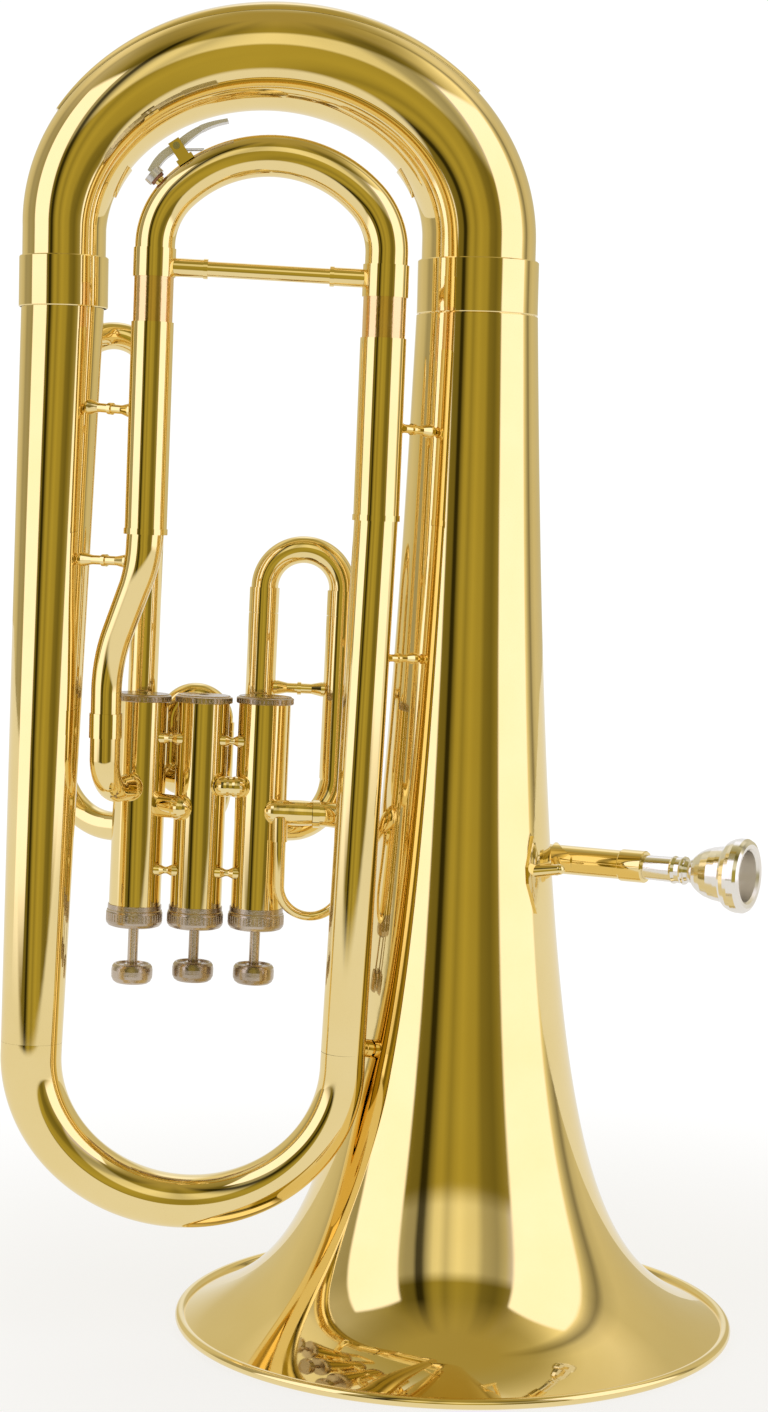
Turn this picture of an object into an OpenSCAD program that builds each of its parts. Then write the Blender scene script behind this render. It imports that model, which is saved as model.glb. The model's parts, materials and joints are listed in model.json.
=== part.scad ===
// Euphonium with three piston valves, standing on its bell.
// Origin: centre of the bell mouth in the resting plane. +Z runs up the bell axis,
// +X points to the mouthpiece side, +Y points from the slide side to the back.

/* [Bell] */
// Diameter over the rolled rim, mm
bell_rim_d = 280; // [276:1:284]
// How fast the flare opens: length over which the bell narrows, mm
bell_flare = 20; // [19:0.5:21]
// Sheet thickness of the bell and the big tubes, mm
wall = 0.7; // [0.5:0.1:0.9]
// Half thickness of the rolled rim bead, mm
bead_r = 2.6; // [2.5:0.05:2.7]

/* [Branches] */
// Height of the big bow above the resting plane, to its centreline, mm
big_bow_top = 626.5; // [624:0.5:629]
// Height of the lower bow's centreline at its lowest, mm
lower_bow_low = 67; // [65:0.5:70]
// Tube radius where the big bow leaves the bell, mm
big_bow_r = 28.1; // [27.6:0.1:28.1]
// Tube radius at the top of the left branch, mm
left_branch_r = 20.3; // [19.8:0.1:20.4]
// Tube radius at the foot of the left branch, mm
left_foot_r = 15; // [14.5:0.1:15.5]
// Tube radius at the foot of the right branch, mm
right_foot_r = 10.9; // [10.5:0.1:11]

/* [Tuning slide] */
// Half the spacing of the tuning slide's legs, mm
tune_half = 55; // [55:0.5:55.5]
// Rise of the tuning bow above its springing line, mm
tune_rise = 44; // [43:0.5:45]
// Radius of the tuning bow's corners, mm
tune_corner = 36; // [35:0.5:37]
// Running clearance of every slide leg and piston, radial, mm
fit = 0.06; // [0.03:0.01:0.09]

/* [Valves] */
// Spacing of the valve axes, mm
valve_pitch = 30.7; // [30.6:0.1:31]
// Outer radius of the valve casings, mm
casing_r = 13; // [12.9:0.1:13]
// Bore radius of the valve casings, mm
casing_bore = 11; // [10.9:0.1:11.1]
// Stroke of the pistons, mm
stroke = 15; // [13:0.5:15]
// Radius of the finger buttons, mm
button_r = 10.4; // [9:0.1:11]

/* [Valve slides] */
// Tube radius of the valve slide bows, mm
vslide_r = 6.85; // [6.6:0.05:6.9]
// Half spacing of the first slide's legs, mm
slide1_half = 19.8; // [19.6:0.1:20]
// Half spacing of the third slide's legs, mm
slide3_half = 21; // [20.8:0.1:21.2]

/* [Mouthpiece] */
// Radius of the mouthpiece rim, mm
rim_r = 18.5; // [18.3:0.1:19]
// Length of the mouthpiece outside the receiver, mm
mouth_len = 55.7; // [55:0.1:56.5]

/* [Hidden] */
$fn = 48;

eps = 0.02;
rim_r0 = bell_rim_d / 2;
bead_c = [rim_r0 - bead_r, 2.4];
wire_r = 1.6;
flare_z = 1.6;
flare_p = 0.446;
tail_z = 504;
joint_z = 518;

// ---- small functions ----
function unit(v) = v / norm(v);
function mix(a, b, t) = a + (b - a) * t;
function smooth(t) = t * t * (3 - 2 * t);
function polar(r, a) = [r * cos(a), r * sin(a)];

// Bell radius at a height, and how it changes with height.
function bell_r(z) = rim_r0 * pow(1 + (z - flare_z) / bell_flare, -flare_p) - 0.0052 * z;
function bell_slope(z) = (bell_r(z + 0.05) - bell_r(z - 0.05)) / 0.1;
// A point on the bell's profile, moved off the sheet by d along the normal.
function bell_pt(z, d) = let (s = bell_slope(z), n = norm([1, s]))
  [bell_r(z) + d / n, z - d * s / n];

// An arc of radius r that rounds the corner b of the line a-b-c, as n + 1 points.
function bend(a, b, c, r, n) = let (u = unit(a - b), v = unit(c - b), h = acos(u * v) / 2,
    o = b + unit(u + v) * r / sin(h), p = b + u * r / tan(h) - o, q = b + v * r / tan(h) - o,
    f = 180 - 2 * h)
  [for (i = [0:n]) o + (sin(f * (n - i) / n) * p + sin(f * i / n) * q) / sin(f)];

// ---- swept tubes ----
function tangent(p, i) = unit(p[min(i + 1, len(p) - 1)] - p[max(i - 1, 0)]);
function ring_at(p, i, r, n, side) = let (t = tangent(p, i), u = unit(cross(side, t)),
    v = cross(t, u))
  [for (k = [0:n - 1]) p[i] + r * (cos(360 * k / n) * u + sin(360 * k / n) * v)];
function rings(p, rad, n, side) = [for (i = [0:len(p) - 1]) each
  ring_at(p, i, rad[i], n, side)];

// A four-cornered face as two triangles, so that it has one reading only.
function halves(q) = [[q[0], q[1], q[2]], [q[0], q[2], q[3]]];

// A hollow tube along a path, closed at each end by its own wall.
module hollow_sweep(p, rad, w, n, side) {
  m = len(p);
  inner = m * n;
  pts = concat(rings(p, rad, n, side), rings(p, [for (r = rad) r - w], n, side));
  faces = [for (k = [0:n - 1]) let (l = (k + 1) % n) each concat(
    [for (i = [0:m - 2]) each [
      [i * n + k, (i + 1) * n + k, (i + 1) * n + l, i * n + l],
      [inner + i * n + l, inner + (i + 1) * n + l, inner + (i + 1) * n + k, inner + i * n + k]]],
    [[k, l, inner + l, inner + k],
      [(m - 1) * n + l, (m - 1) * n + k, inner + (m - 1) * n + k, inner + (m - 1) * n + l]])];
  polyhedron(points = pts, faces = [for (f = faces) each halves(f)], convexity = 6);
}

// A solid rod along a path.
module solid_sweep(p, rad, n, side) {
  m = len(p);
  faces = concat(
    [for (i = [0:m - 2], k = [0:n - 1]) let (l = (k + 1) % n)
      each halves([i * n + k, (i + 1) * n + k, (i + 1) * n + l, i * n + l])],
    [[for (k = [0:n - 1]) k], [for (k = [0:n - 1]) (m - 1) * n + n - 1 - k]]);
  polyhedron(points = rings(p, rad, n, side), faces = faces, convexity = 6);
}

// ---- straight pieces between two points ----
module along(p, q) {
  d = q - p;
  tilt = acos(d[2] / norm(d));
  turn = atan2(d[1], d[0]);
  translate(p)
    rotate([0, tilt, turn])
      children();
}

module rod(p, q, r1, r2) {
  along(p, q)
    cylinder(h = norm(q - p), r1 = r1, r2 = r2);
}

module tube(p, q, r1, r2, w) {
  d = unit(q - p);
  difference() {
    rod(p, q, r1, r2);
    rod(p - d * eps, q + d * eps, r1 - w, r2 - w);
  }
}

// A waisted strut between two tube axes; the caller cuts both ends to the tubes.
module strut(p, q, rp, rq, foot, waist) {
  gap = norm(q - p) - rp - rq;
  along(p, q) {
    cylinder(h = norm(q - p), r = waist);
    translate([0, 0, rp - 2])
      cylinder(h = 3, r = foot);
    translate([0, 0, rp + 1])
      cylinder(h = gap * 0.2, r1 = foot, r2 = waist);
    translate([0, 0, rp + gap * 0.46])
      cylinder(h = gap * 0.08, r = waist + 0.7);
    translate([0, 0, rp + gap * 0.8 - 1])
      cylinder(h = gap * 0.2, r1 = waist, r2 = foot);
    translate([0, 0, rp + gap - 1])
      cylinder(h = 3, r = foot);
  }
}

module pipe_section(r, w) {
  difference() {
    circle(r);
    circle(r - w);
  }
}

// A curved piece in the XZ plane, its bend centre at the origin.
module bend_xz(big, r, w, from, sweep) {
  rotate([90, 0, 0])
    rotate_extrude(angle = sweep, start = from)
      translate([big, 0])
        pipe_section(r, w);
}

// A turned shape along a line, from a list of [distance, radius].
module turned(p, dir, prof) {
  along(p, p + dir)
    rotate_extrude()
      polygon([for (q = prof) [q[1], q[0]]]);
}

// ---- main tubing ----
function span_y(a, b, t) = mix(a, b, (1 - cos(180 * t)) / 2);

big_bow_left = [-202.2, -15];
big_bow_z = 541;
big_bow_n = 24;
big_bow_path = concat([[0, 0, joint_z + 1], [0, 0, 530]],
  [for (i = [0:big_bow_n]) let (t = i / big_bow_n, a = 180 * t)
    [big_bow_left[0] / 2 * (1 - cos(a)), span_y(0, big_bow_left[1], t),
      big_bow_z + (big_bow_top - big_bow_z) * sin(a)]],
  [[big_bow_left[0], big_bow_left[1], 529], [big_bow_left[0], big_bow_left[1], 516.2]]);
function bow_radius(t) = big_bow_r - 2.6 * t
  - (big_bow_r - 2.6 - left_branch_r) * t * t;
big_bow_rad = concat([big_bow_r, big_bow_r],
  [for (i = [0:big_bow_n]) bow_radius(i / big_bow_n)], [left_branch_r, left_branch_r]);

left_top = [big_bow_left[0], big_bow_left[1], 514.8];
left_foot = [-210.8, -32, 144];
right_foot = [-57.6, -40, 144];

lower_n = 20;
lower_z = 137;
lower_l = left_foot + unit(left_foot - left_top) * 7;
lower_r = [-57.8, -39.8, lower_z];
lower_path = concat([left_foot - [0, 0, 0.5]],
  [for (i = [0:lower_n]) let (t = i / lower_n, a = 180 * t)
    [mix(lower_l[0], lower_r[0], (1 - cos(a)) / 2), span_y(lower_l[1], lower_r[1], t),
      lower_z - (lower_z - lower_bow_low) * sin(a)]],
  [right_foot - [0, 0, 0.4]]);
lower_rad = [for (i = [0:lower_n + 2]) mix(left_foot_r, right_foot_r, i / (lower_n + 2))];

// ---- tuning slide frame ----
tune_o = [-100.1, -47.9, 530];
tune_tilt = [0.7, 1.05, 0];
module in_tune() {
  translate(tune_o)
    rotate(tune_tilt)
      children();
}
function tune_pt(x, z) = tune_o + [x * cos(tune_tilt[1]) + z * cos(tune_tilt[0]) * sin(tune_tilt[1]),
  -z * sin(tune_tilt[0]),
  -x * sin(tune_tilt[1]) + z * cos(tune_tilt[0]) * cos(tune_tilt[1])];
// The right side is the wider end of the slide, because the bore grows along it.
leg_l_r = 9.4;
leg_r_r = 10.3;
sleeve_w = 0.65;
sleeve_l_r = leg_l_r + fit + sleeve_w;
sleeve_r_r = leg_r_r + fit + sleeve_w;
sleeve_l = [-136, -36.3];
sleeve_r = [-125, -39.5];
ferrule_l = [-15, -1.5];
ferrule_r = [-20.2, -5];
// Crown arc that meets both corner arcs smoothly.
crown_r = (pow(tune_half - tune_corner, 2) + pow(tune_rise, 2) - pow(tune_corner, 2))
  / (2 * (tune_rise - tune_corner));
crown_half = asin((tune_half - tune_corner) / (crown_r - tune_corner));

right_top = tune_pt(tune_half, sleeve_r[0]) - [0, 0, 0.5];

// ---- valve frame: X along the row towards the bell, Y to the back, Z up ----
valve_o = [-133.2, 10, 255.8];
valve_tilt = 1.4;
module in_valves() {
  translate(valve_o)
    rotate([0, valve_tilt, 0])
      children();
}
function valve_pt(v) = valve_o + [v[0] * cos(valve_tilt) + v[2] * sin(valve_tilt), v[1],
  v[2] * cos(valve_tilt) - v[0] * sin(valve_tilt)];
function axis_x(n) = (2 - n) * valve_pitch;
// How far each valve stands above the row's line, and each button below its place.
valve_rise = [0.9, 0.1, -0.5];
button_drop = [0.75, 0.1, 1.9];
casing_z = [-53, 55];
top_floor = -53.3;
top_end = -60.4;
bottom_floor = 55.3;
bottom_end = 57.6;
piston_z = [-34, 22];
piston_r = casing_bore - fit;
neck_z = -50;
stem_r = 2.6;
button_z = [-87.5, -77.6];
knuckle_y = -10.5;
knuckle_12 = [[12.8, knuckle_y, 13], [18.9, knuckle_y, 13]];
knuckle_23 = [[-9.2, -11, 1.4], [-24, -0.7, 1.4]];
pipe_ball = [39, knuckle_y, 1.5];
pipe_ball_r = 6.4;
// Each valve's ports as [angle round the casing, height, radius]: in, out, slide, slide.
ports = [
  [[-51.7, 1.5, 5.2], [-138.3, 13, 4.1], [99, 16, 5.6], [33.8, -7.9, 5.6]],
  [[-39.4, 13, 4.1], [-129.9, 1.4, 5], [126.4, 12.5, 5.4], [74, -1, 5.4]],
  [[-6, 1.4, 5], [-106, 11, 5.4], [96, 15, 5.4], [152.2, -11.7, 5.6]]];

// ---- valve slides, in the valve frame ----
vsleeve_r = vslide_r + fit + 0.65;
slide_y = 24;
// [valve, right leg x, half spacing, springing z, sleeve top z, leg length,
//  right and left elbow: [height, bend radius]]
slides = [
  [1, axis_x(1) - 3.8 + 2 * slide1_half, slide1_half, 112.5, 99.2, 80, [-7.9, 24], [16, 9]],
  [2, 6.9, 12.3, 42.7, 37.9, 20, [-1, 9], [12.5, 9]],
  [3, axis_x(3) - 2.5, slide3_half, 214.7, 200, 100, [15, 9], [-11.7, 34]]];

// ---- leadpipe plan, in the horizontal plane ----
pipe_r = 6.2;
pipe_y = -0.5;
pipe_z = 255.7;
receiver_z = 231.5;
turn_in = 22;
round_bell = 53;
leave_a = 61;
pipe_c = [-sqrt(pow(turn_in + round_bell, 2) - pow(turn_in + pipe_y, 2)), turn_in + pipe_y];
meet_a = atan2(pipe_c[1], pipe_c[0]);
pipe_start = [-75.7, pipe_y];
pipe_dir = [sin(leave_a), -cos(leave_a)];
function line_xy(s) = polar(round_bell, leave_a) + pipe_dir * s;
function line_pt(s) = [line_xy(s)[0], line_xy(s)[1], receiver_z];
pipe_turn = [for (i = [0:8]) let (a = -90 + (meet_a - 90) * i / 8)
  pipe_c + polar(turn_in, a)];
pipe_round = [for (i = [1:12]) polar(round_bell, mix(meet_a, leave_a, i / 12))];
pipe_plan = concat([pipe_start, [-72.1, pipe_y]], pipe_turn, pipe_round, [line_xy(22), line_xy(44)]);
pipe_count = len(pipe_plan);
pipe_path = [for (i = [0:pipe_count - 1]) [pipe_plan[i][0], pipe_plan[i][1],
  mix(pipe_z, receiver_z, smooth(min(max((i - 2) / (pipe_count - 5), 0), 1)))]];
receiver_s = [21, 76.3];
mouth_dir = [pipe_dir[0], pipe_dir[1], 0];
mouth_p = line_pt(receiver_s[1]);

// ================= bell and big bow =================
module bell() {
  n = 44;
  z0 = flare_z + 1.55;
  zs = [for (i = [0:n]) mix(z0, tail_z, pow(i / n, 2))];
  outer = [for (z = zs) bell_pt(z, 0)];
  inner = [for (i = [n:-1:0]) bell_pt(zs[i], -wall)];
  tail_r = 28.6;
  tail = [[tail_r, tail_z + 0.3], [tail_r, joint_z], [tail_r - wall, joint_z],
    [tail_r - wall, tail_z - 0.6]];
  color("gold")
    difference() {
      rotate_extrude()
        difference() {
          union() {
            polygon(concat(outer, tail, inner));
            translate(bead_c)
              circle(bead_r);
          }
          translate(bead_c)
            circle(wire_r + 0.05);
        }
      translate([0, 0, -10])
        cylinder(h = 10, r = rim_r0 + 10);
    }
}

module bell_rim_wire() {
  color("silver")
    rotate_extrude()
      translate(bead_c)
        circle(wire_r);
}

module bell_ferrule() {
  color("gold")
    turned([0, 0, 0], [0, 0, 1], [[504.5, 28.65], [504.5, 29.6], [505, 29.9], [530.4, 29.9],
      [530.9, 29.5], [530.9, 28.15], [518.4, 28.15], [518.4, 28.65]]);
}

module big_bow() {
  color("gold")
    hollow_sweep(big_bow_path, big_bow_rad, wall, 28, [0, 1, 0]);
}

// A thin wear plate on the outside of the big bow, pointed at both ends.
module bow_guard() {
  first = 3;
  last = big_bow_n - 2;
  across = 8;
  thick = 0.9;
  lift = 0.25;
  m = last - first + 1;
  half = [for (i = [0:m - 1]) 2 + 35 * pow(sin(180 * i / (m - 1)), 0.7)];
  function skin(i, k, off) = let (s = first + i, t = tangent(big_bow_path, s),
      out = unit(cross([0, 1, 0], t)), up = cross(t, out),
      a = half[i] * (2 * k / across - 1))
    big_bow_path[s] - (big_bow_rad[s] + off) * (cos(a) * -out + sin(a) * up);
  w = across + 1;
  pts = [for (off = [lift, lift + thick], i = [0:m - 1], k = [0:across]) skin(i, k, off)];
  b = m * w;
  faces = concat(
    [for (i = [0:m - 2], k = [0:across - 1]) each [
      [i * w + k, i * w + k + 1, (i + 1) * w + k + 1, (i + 1) * w + k],
      [b + i * w + k, b + (i + 1) * w + k, b + (i + 1) * w + k + 1, b + i * w + k + 1]]],
    [for (i = [0:m - 2]) each [
      [i * w, (i + 1) * w, b + (i + 1) * w, b + i * w],
      [i * w + across, b + i * w + across, b + (i + 1) * w + across, (i + 1) * w + across]]],
    [for (k = [0:across - 1]) each [
      [k, b + k, b + k + 1, k + 1],
      [(m - 1) * w + k, (m - 1) * w + k + 1, b + (m - 1) * w + k + 1, b + (m - 1) * w + k]]]);
  color("goldenrod")
    polyhedron(points = pts, faces = [for (f = faces) each halves(f)], convexity = 6);
}

module bow_ferrule() {
  r = left_branch_r;
  color("gold")
    translate([big_bow_left[0], big_bow_left[1], 0])
      turned([0, 0, 0], [0, 0, 1], [[502.7, r + 0.65], [502.7, r + 1.1], [503.2, r + 1.4],
        [526.8, r + 1.4], [527.3, r + 1.1], [527.3, r + 0.05], [516, r + 0.05],
        [516, r + 0.65]]);
}

module left_branch() {
  color("gold")
    tube(left_top, left_foot, left_branch_r, left_foot_r, wall);
}

module lower_bow() {
  color("gold")
    hollow_sweep(lower_path, lower_rad, wall, 24, [0, 1, 0]);
}

module right_branch() {
  color("gold")
    tube(right_foot, right_top, right_foot_r, leg_r_r + 0.2, wall);
}

// ================= tuning slide =================
module tune_tube(x, z, r, w) {
  translate([x, 0, z[0]])
    difference() {
      cylinder(h = z[1] - z[0], r = r);
      translate([0, 0, -eps])
        cylinder(h = z[1] - z[0] + 2 * eps, r = r - w);
    }
}

module tuning_sleeves() {
  color("gold")
    in_tune() {
      tune_tube(-tune_half, sleeve_l, sleeve_l_r, sleeve_w);
      tune_tube(tune_half, sleeve_r, sleeve_r_r, sleeve_w);
    }
}

module tuning_bow() {
  mid = tune_half - tune_corner;
  color("gold")
    in_tune() {
      tune_tube(-tune_half, [-7, 0], 9.5, wall);
      translate([-mid, 0, 0])
        bend_xz(tune_corner, 9.5, wall, 90 + crown_half, 90 - crown_half);
      translate([0, 0, tune_rise - crown_r])
        bend_xz(crown_r, 9.8, wall, 90 - crown_half, 2 * crown_half);
      translate([mid, 0, 0])
        bend_xz(tune_corner, 10.2, wall, 0, 90 - crown_half);
      tune_tube(tune_half, [-12, 0], 10.2, wall);
    }
}

module tuning_legs() {
  color("peru")
    in_tune() {
      tune_tube(-tune_half, [-112, -7.1], leg_l_r, 0.6);
      tune_tube(tune_half, [-102, -12.1], leg_r_r, 0.6);
    }
}

module tuning_ferrules() {
  color("gold")
    in_tune() {
      tune_tube(-tune_half, ferrule_l, 10.1, 0.55);
      tune_tube(tune_half, ferrule_r, 11, 0.65);
    }
}

module tuning_brace() {
  l = [-tune_half + 9, 0, -10];
  r = [tune_half - 10, 0, -11.6];
  d = unit(r - l);
  socket = 16.5;
  color("gold")
    in_tune()
      difference() {
        union() {
          rod(l, r, 3.7, 3.7);
          rod(l, l + d * socket, 4.4, 4.4);
          rod(l + d * (socket - 2), l + d * socket, 4.8, 4.8);
          rod(r - d * socket, r, 4.4, 4.4);
          rod(r - d * socket, r - d * (socket - 2), 4.8, 4.8);
        }
        translate([-tune_half, 0, -40])
          cylinder(h = 60, r = 10.1 + eps);
        translate([tune_half, 0, -40])
          cylinder(h = 60, r = 11 + eps);
      }
}

// ================= water key, on the tuning bow =================
key_pivot = [-46.1, 46.4];
key_cork_a = 139;
key_cork_c = [-(tune_half - tune_corner), 0];
key_tip = [-22.4, 59.4];
cork_base = 46.9;
module at_cork() {
  in_tune()
    translate([key_cork_c[0], 0, key_cork_c[1]])
      rotate([0, 90 - key_cork_a, 0])
        children();
}

module key_bore(r) {
  translate([key_pivot[0], 0, key_pivot[1]])
    rotate([90, 0, 0])
      cylinder(h = 20, r = r, center = true);
}

// Two ears and a foot on the crown, and a nipple on the corner under the cork. Each sits on
// a straight cut, because the bow curves away by only a tenth of a millimetre beneath it.
module water_key_saddle() {
  ear_y = 4.5;
  crown_c = [0, tune_rise - crown_r];
  lean = 90 - atan2(key_pivot[1] - crown_c[1], key_pivot[0]);
  height = norm(key_pivot - crown_c) - crown_r;
  color("gold") {
    in_tune()
      translate([key_pivot[0], 0, key_pivot[1]])
        rotate([0, lean, 0])
          difference() {
            union() {
              for (y = [-ear_y, ear_y])
                translate([-2.9, y - 0.7, -8])
                  cube([5.8, 1.4, 10.8]);
              translate([-4.2, -ear_y - 0.9, -height + 6])
                cube([8.4, 2 * ear_y + 1.8, 5]);
            }
            translate([-10, 0, -height])
              rotate([0, 90, 0])
                cylinder(h = 20, r = 9.9);
            rotate([90, 0, 0])
              cylinder(h = 20, r = 1.03, center = true);
          }
    at_cork()
      difference() {
        translate([0, 0, 42])
          cylinder(h = cork_base - 42, r = 2.4);
        translate([-10, 0, tune_corner])
          rotate([0, 90, 0])
            cylinder(h = 20, r = 9.6);
        translate([0, 0, 40])
          cylinder(h = 10, r = 1.5);
      }
  }
}

// The lever's centreline runs from the cork cup over the pivot to the fingertip.
function lever_mid(t) = let (a = key_cork_c + polar(51.5, key_cork_a))
  t < 0.4 ? mix(a, key_pivot, t / 0.4) + [-1.2, 1] * sin(450 * t)
    : mix(key_pivot, key_tip, (t - 0.4) / 0.6) + [-0.8, 2.2] * sin(300 * (t - 0.4));
module water_key_lever() {
  n = 20;
  paddle = 14;
  mid = [for (i = [0:n]) lever_mid(i / n)];
  off = [for (i = [0:n]) let (d = unit(mid[min(i + 1, n)] - mid[max(i - 1, 0)]))
    mix(1.9, 0.8, smooth(max(i - 8, 0) / 12)) * [-d[1], d[0]]];
  function outline(from) = concat([for (i = [from:n]) mid[i] + off[i]],
    [for (i = [n:-1:from]) mid[i] - off[i]]);
  color("silver") {
    in_tune()
      difference() {
        union() {
          rotate([90, 0, 0]) {
            linear_extrude(height = 5.6, center = true)
              polygon(outline(0));
            linear_extrude(height = 8.4, center = true)
              polygon(outline(paddle));
          }
          translate([key_pivot[0], 0, key_pivot[1]])
            rotate([90, 0, 0])
              cylinder(h = 5.5, r = 2.2, center = true);
        }
        key_bore(1.06);
        translate([key_cork_c[0], 0, key_cork_c[1]])
          rotate([0, 90 - key_cork_a, 0])
            cylinder(h = 50, r = 4);
      }
    at_cork()
      difference() {
        translate([0, 0, 48])
          cylinder(h = 3.4, r = 4.6);
        translate([0, 0, 47])
          cylinder(h = 3, r = 3.65);
      }
  }
}

module water_key_cork() {
  color("sienna")
    at_cork()
      translate([0, 0, cork_base + 0.02])
        cylinder(h = 3, r = 3.6);
}

module water_key_pin() {
  color("silver")
    in_tune()
      translate([key_pivot[0], 0, key_pivot[1]])
        rotate([90, 0, 0]) {
          cylinder(h = 11.2, r = 1, center = true);
          translate([0, 0, 5.25])
            cylinder(h = 0.9, r = 1.7);
        }
}

// Two coils round the pin inside the ears, each with a tail resting on the bow.
module water_key_spring() {
  wire = 0.3;
  coil = 1.7;
  crown_c = [0, tune_rise - crown_r];
  reach = norm(key_pivot - crown_c);
  a = atan2(key_pivot[1] - crown_c[1], key_pivot[0]);
  from = crown_c + polar(reach - coil, a);
  to = crown_c + polar(crown_r + 9.6, a - 8);
  color("silver")
    in_tune()
      for (y = [-3.25, 3.25]) {
        translate([key_pivot[0], y, key_pivot[1]])
          rotate([90, 0, 0])
            rotate_extrude()
              translate([coil, 0])
                circle(wire);
        rod([from[0], y, from[1]], [to[0], y, to[1]], wire * 0.9, wire * 0.9);
      }
}

// ================= crook between the tuning slide and the third valve =================
crook_end = valve_pt([axis_x(3) - 3.6, -17.2, 11]);
crook_corners = [tune_pt(-tune_half, sleeve_l[0] - 0.1), [-158.8, -46.1, 378.5],
  [-176.3, -34.4, 332], [-176.9, -33.4, 268], crook_end];
crook_path = concat([crook_corners[0]],
  bend(crook_corners[0], crook_corners[1], crook_corners[2], 60, 5),
  bend(crook_corners[1], crook_corners[2], crook_corners[3], 75, 5),
  bend(crook_corners[2], crook_corners[3], crook_end, 16, 8), [crook_end]);
crook_n = len(crook_path) - 1;
crook_rad = [for (i = [0:crook_n]) mix(mix(8.9, 7.4, smooth(min(i / 9, 1))), 6.1,
  smooth(max(i - 13, 0) / (crook_n - 13)))];
module crook() {
  color("gold")
    hollow_sweep(crook_path, crook_rad, wall, 18, [1, 0.35, 0.2]);
}

// A band round a tube at one place on a line.
module band(p, d, h, r, bore) {
  difference() {
    rod(p, p + d * h, r, r);
    rod(p - d * eps, p + d * (h + eps), bore, bore);
  }
}

module collars() {
  tune_up = unit(tune_pt(0, 1) - tune_pt(0, 0));
  low = crook_corners[2];
  down = unit(crook_corners[3] - low);
  in_d = unit(crook_end - crook_corners[3]);
  color("gold") {
    band(tune_pt(tune_half, sleeve_r[0] - 1.2), tune_up, 2.8, sleeve_r_r + 0.45,
      sleeve_r_r + 0.06);
    band(tune_pt(-tune_half, sleeve_l[0] - 1.2), tune_up, 2.8, sleeve_l_r + 0.45,
      sleeve_l_r + 0.06);
    band(low + down * 25.5, down, 12, 8, 7.55);
    band([pipe_start[0], pipe_y, pipe_z], [1, 0, 0], 3.4, 6.9, pipe_r + 0.05);
    difference() {
      translate(crook_end)
        sphere(6.9);
      rod(crook_end - in_d * 9, crook_end + in_d * 0.3, 6.1 + eps, 6.1 + eps);
      rod(crook_end - in_d, crook_end + in_d * 20, 5, 5);
      in_valves()
        translate([axis_x(3), 0, -60])
          cylinder(h = 120, r = casing_r + eps);
    }
  }
}

// ================= valves =================
module at_valve(n) {
  in_valves()
    translate([axis_x(n), 0, valve_rise[n - 1]])
      children();
}

module casing_space() {
  for (n = [1:3])
    translate([axis_x(n), 0, -60])
      cylinder(h = 120, r = casing_r + eps);
}

module valve_casing(n) {
  color("gold")
    at_valve(n)
      difference() {
        translate([0, 0, casing_z[0]])
          cylinder(h = casing_z[1] - casing_z[0], r = casing_r);
        translate([0, 0, casing_z[0] - 1])
          cylinder(h = casing_z[1] - casing_z[0] + 2, r = casing_bore);
        for (p = ports[n - 1])
          translate([0, 0, p[1] - valve_rise[n - 1]])
            rotate([0, 90, p[0]])
              translate([0, 0, 3])
                cylinder(h = casing_r, r = p[2]);
      }
}

module valve_casing_1() {
  valve_casing(1);
}
module valve_casing_2() {
  valve_casing(2);
}
module valve_casing_3() {
  valve_casing(3);
}

// Part of a ball's outline, as [distance, radius] pairs for a turned shape.
function ball_arc(at, r, from, to) = [for (k = [0:8]) let (a = mix(from, to, k / 8))
  [at - r * cos(a), r * sin(a)]];

// The way from a knuckle's ball into the casing of one valve.
module ball_port(p, x, r) {
  c = [x, 0, p[2]];
  rod(p - unit(c - p), c, r, r);
}

// The tubes that join neighbouring casings, one across the front and one that comes from
// between the casings, and the ball and barrel that start the leadpipe.
module valve_knuckles() {
  across = knuckle_12[1][0] - knuckle_12[0][0];
  slant = unit(knuckle_23[1] - knuckle_23[0]);
  barrel = 18.2;
  color("gold")
    in_valves() {
      difference() {
        turned(knuckle_12[0], [1, 0, 0], concat(ball_arc(0, 5.4, 1, 114.8),
          ball_arc(across, 5.4, 65.2, 179), [[across, 0], [0, 0]]));
        rod(knuckle_12[0] - [0.6, 0, 0], knuckle_12[1] + [0.6, 0, 0], 4.1, 4.1);
        ball_port(knuckle_12[0], axis_x(2), 3.8);
        ball_port(knuckle_12[1], axis_x(1), 3.8);
        casing_space();
      }
      difference() {
        turned(knuckle_23[0], slant, concat(ball_arc(0, 6.3, 1, 110.5), [[18, 5.9], [18, 0]]));
        rod(knuckle_23[0] - slant * 0.6, knuckle_23[1], 5, 5);
        ball_port(knuckle_23[0], axis_x(2), 4.7);
        casing_space();
      }
      difference() {
        turned(pipe_ball, [1, 0, 0], concat(ball_arc(0, pipe_ball_r, 1, 106),
          [for (k = [-5:5]) [barrel - 7.4 + 1.48 * k, 6.4 - 0.018 * k * k]], [[barrel, 0]]));
        rod(pipe_ball - [0.6, 0, 0], pipe_ball + [barrel + 1, 0, 0], 5.2, 5.2);
        ball_port(pipe_ball, axis_x(1), 4.9);
        casing_space();
      }
    }
}

module casing_posts() {
  y = -6;
  gap = valve_pitch / 2;
  color("gold")
    in_valves()
      difference() {
        for (x = [-gap, gap], z = [-31, 35.5])
          turned([x, y, z], [1, 0, 0], [[-6, 0], [-6, 3.2], [-3.2, 3.1], [-1.2, 2],
            [-0.6, 1.8], [0.6, 1.8], [1.2, 2], [3.2, 3.1], [6, 3.2], [6, 0]]);
        casing_space();
      }
}

// Caps with a skirt round the casing's end; the rims are knurled.
module cap(prof, knurls, r, z, h) {
  difference() {
    rotate_extrude()
      polygon(prof);
    for (k = [0:knurls - 1])
      rotate([0, 0, 360 * k / knurls])
        translate([r + 0.35, 0, z])
          cylinder(h = h, r = 0.55);
  }
}

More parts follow.
